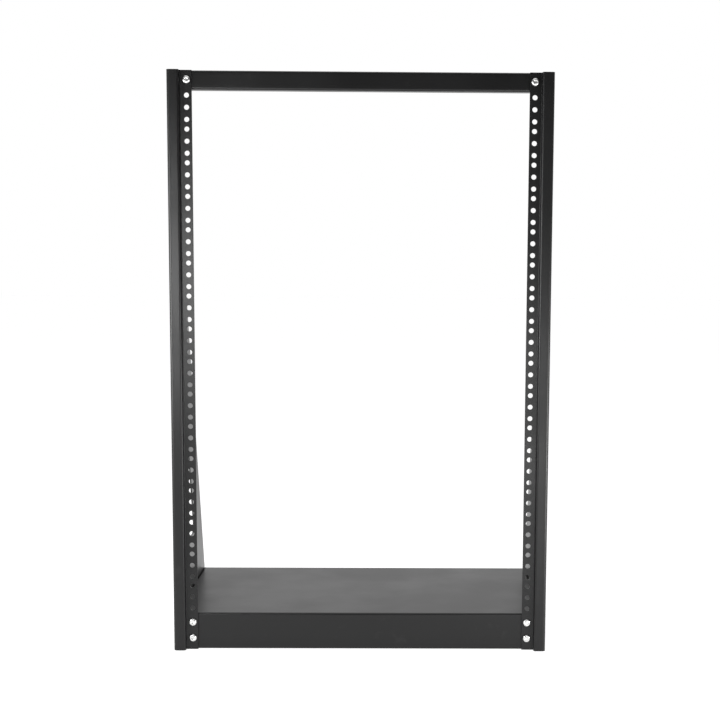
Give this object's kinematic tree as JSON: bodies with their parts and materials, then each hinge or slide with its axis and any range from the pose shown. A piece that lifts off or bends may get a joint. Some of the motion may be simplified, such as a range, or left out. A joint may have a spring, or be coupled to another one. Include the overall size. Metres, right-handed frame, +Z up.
{
  "type": "two post open frame rack",
  "caption": "Free-standing two post rack of folded black sheet steel: tapered side panels with hole flanges, a crossbar and a flat base tray, for 19 inch equipment.",
  "frame": {"origin": "on the floor, at the middle of the footprint", "axes": "+X to the right seen from the front, +Y from the front with the holes to the rear, +Z up"},
  "size_m": [0.523, 0.3, 0.79],
  "materials": {
    "upright_paint": "black powder coat, fine texture, satin",
    "crossbar_paint": "black powder coat, fine texture, satin",
    "tray_paint": "black powder coat, fine texture, satin",
    "zinc_screw": "bright zinc plate",
    "zinc_nut": "bright zinc plate"
  },
  "bodies": {
    "root": {"left_upright": "upright_paint", "right_upright": "upright_paint", "top_crossbar": "crossbar_paint", "base_tray": "tray_paint", "crossbar_screw_left": "zinc_screw", "base_front_screw_left_lower": "zinc_screw", "base_front_screw_left_upper": "zinc_screw", "base_side_screw_left_front": "zinc_screw", "base_side_screw_left_rear": "zinc_screw", "crossbar_nut_left": "zinc_nut", "base_front_nut_left_lower": "zinc_nut", "base_front_nut_left_upper": "zinc_nut", "base_side_nut_left_front": "zinc_nut", "base_side_nut_left_rear": "zinc_nut", "crossbar_screw_right": "zinc_screw", "base_front_screw_right_lower": "zinc_screw", "base_front_screw_right_upper": "zinc_screw", "base_side_screw_right_front": "zinc_screw", "base_side_screw_right_rear": "zinc_screw", "crossbar_nut_right": "zinc_nut", "base_front_nut_right_lower": "zinc_nut", "base_front_nut_right_upper": "zinc_nut", "base_side_nut_right_front": "zinc_nut", "base_side_nut_right_rear": "zinc_nut"}
  },
  "joints": []
}
